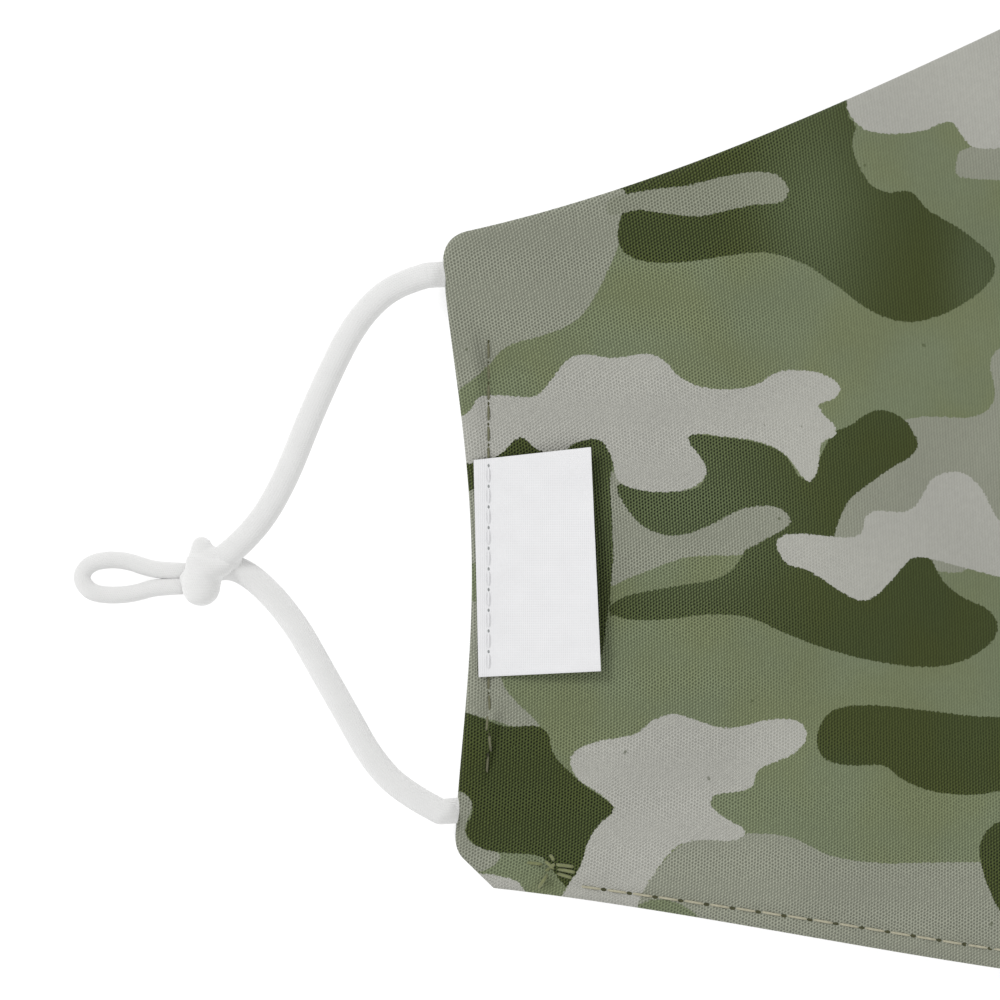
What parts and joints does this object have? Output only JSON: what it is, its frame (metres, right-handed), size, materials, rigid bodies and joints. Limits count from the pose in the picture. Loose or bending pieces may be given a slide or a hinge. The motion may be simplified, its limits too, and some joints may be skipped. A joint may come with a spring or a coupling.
{
  "type": "cloth face mask",
  "caption": "Contoured two-panel cloth face mask with layered panels, a centre seam, a side label and knotted elastic ear loops.",
  "frame": {"origin": "middle of the mask's box, on the surface it rests on face up, without the ear loops", "axes": "+X across the mask, +Y to the nose point, +Z out of the face"},
  "size_m": [0.3006, 0.1431, 0.0375],
  "materials": {
    "camo_cloth": "matt woven cloth printed in four colours",
    "lining_cloth": "matt dark cloth",
    "felt": "matt non-woven",
    "thread": "matt thread",
    "label_cloth": "satin woven tape, blank",
    "elastic": "soft knitted elastic"
  },
  "bodies": {
    "left_half": {"outer_panel_left": "camo_cloth", "interlining_left": "felt", "lining_panel_left": "lining_cloth", "side_topstitch_left": "thread", "bottom_topstitch_left": "thread", "bottom_bartack_left": "thread", "ear_cord_end_upper_left": "elastic", "ear_cord_end_lower_left": "elastic", "centre_seam_thread": "thread", "label_sewn_edge": "label_cloth"},
    "right_half": {"outer_panel_right": "camo_cloth", "interlining_right": "felt", "lining_panel_right": "lining_cloth", "side_topstitch_right": "thread", "bottom_topstitch_right": "thread", "bottom_bartack_right": "thread", "ear_cord_end_upper_right": "elastic", "ear_cord_end_lower_right": "elastic"},
    "label": {"label_flap": "label_cloth"},
    "left_loop": {"ear_cord_upper_left": "elastic", "ear_cord_lower_left": "elastic"},
    "left_knot": {"ear_knot_left": "elastic", "ear_tail_left": "elastic"},
    "right_loop": {"ear_cord_upper_right": "elastic", "ear_cord_lower_right": "elastic"},
    "right_knot": {"ear_knot_right": "elastic", "ear_tail_right": "elastic"}
  },
  "joints": [
    {"name": "centre_fold", "type": "hinge", "parent": "left_half", "child": "right_half", "pos_m": [0, 0, 0.0252], "axis": [0, 1, 0], "range_deg": [0, 140]},
    {"name": "label_lift", "type": "hinge", "parent": "left_half", "child": "label", "pos_m": [-0.0918, -0.0133, 0.00232], "axis": [0, -1, 0], "range_deg": [-4, 100], "stiffness_Nm_per_rad": 0.0005},
    {"name": "left_loop_swing", "type": "hinge", "parent": "left_half", "child": "left_loop", "pos_m": [-0.1012, 0.0274, 0.0043], "axis": [-0.0253, 0.9992, 0.0293], "range_deg": [-90, 90]},
    {"name": "left_loop_stretch", "type": "slide", "parent": "left_loop", "child": "left_knot", "axis": [-1, 0, 0], "range_m": [0, 0.03], "stiffness_N_per_m": 8, "deforming": ["ear_cord_upper_left", "ear_cord_lower_left"]},
    {"name": "right_loop_swing", "type": "hinge", "parent": "right_half", "child": "right_loop", "pos_m": [0.1012, 0.0274, 0.0043], "axis": [-0.0253, -0.9992, -0.0293], "range_deg": [-90, 90]},
    {"name": "right_loop_stretch", "type": "slide", "parent": "right_loop", "child": "right_knot", "axis": [1, 0, 0], "range_m": [0, 0.03], "stiffness_N_per_m": 8, "deforming": ["ear_cord_upper_right", "ear_cord_lower_right"]}
  ]
}
